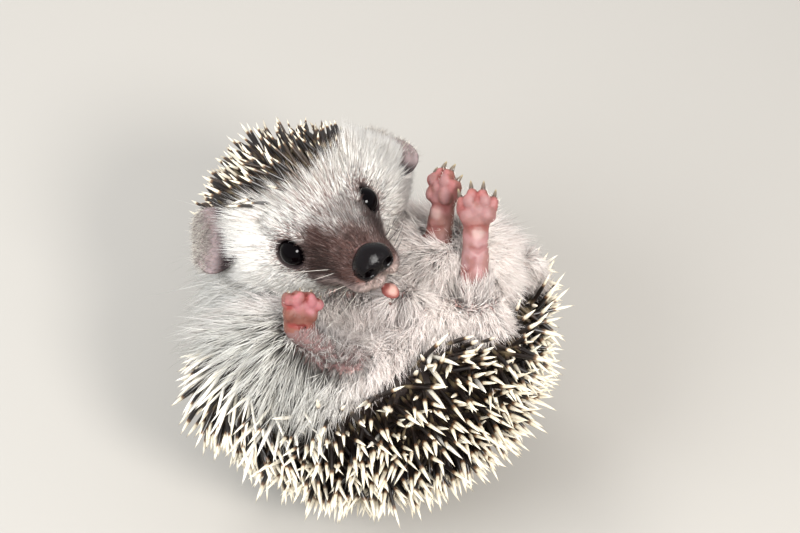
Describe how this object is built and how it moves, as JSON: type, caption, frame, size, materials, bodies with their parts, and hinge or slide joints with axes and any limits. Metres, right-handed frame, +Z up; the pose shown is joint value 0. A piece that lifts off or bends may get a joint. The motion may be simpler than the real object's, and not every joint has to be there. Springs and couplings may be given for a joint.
{
  "type": "hedgehog",
  "caption": "Life-size model of a small African hedgehog lying half curled on its spiny back, belly and feet up, with its head raised and turned to the side.",
  "frame": {"origin": "on the floor under the middle of the animal's bounding box", "axes": "+Z up; the tail end towards +X and the animal's left side towards +Y, the head raised over the -X end and looking towards -Y"},
  "size_m": [0.091, 0.0862, 0.0878],
  "materials": {
    "spines": "banded hollow spines, cream tips over a dark brown band",
    "fur": "soft white and grey-brown fur",
    "skin": "bare pink skin",
    "ear": "thin grey-mauve skin with fine down",
    "nose": "wet dark skin",
    "eye": "wet and glossy"
  },
  "bodies": {
    "root": {"trunk": "spines", "neck": "spines", "head": "fur", "tail": "fur", "hindleg_right": "fur", "hindleg_left": "fur", "foreleg_right": "fur", "foreleg_left": "fur", "hindfoot_right": "skin", "hindfoot_left": "skin", "forefoot_right": "skin", "forefoot_left": "skin", "ear_left": "ear", "ear_right": "ear", "nose": "nose", "eye_left": "eye", "eye_right": "eye"}
  },
  "joints": []
}
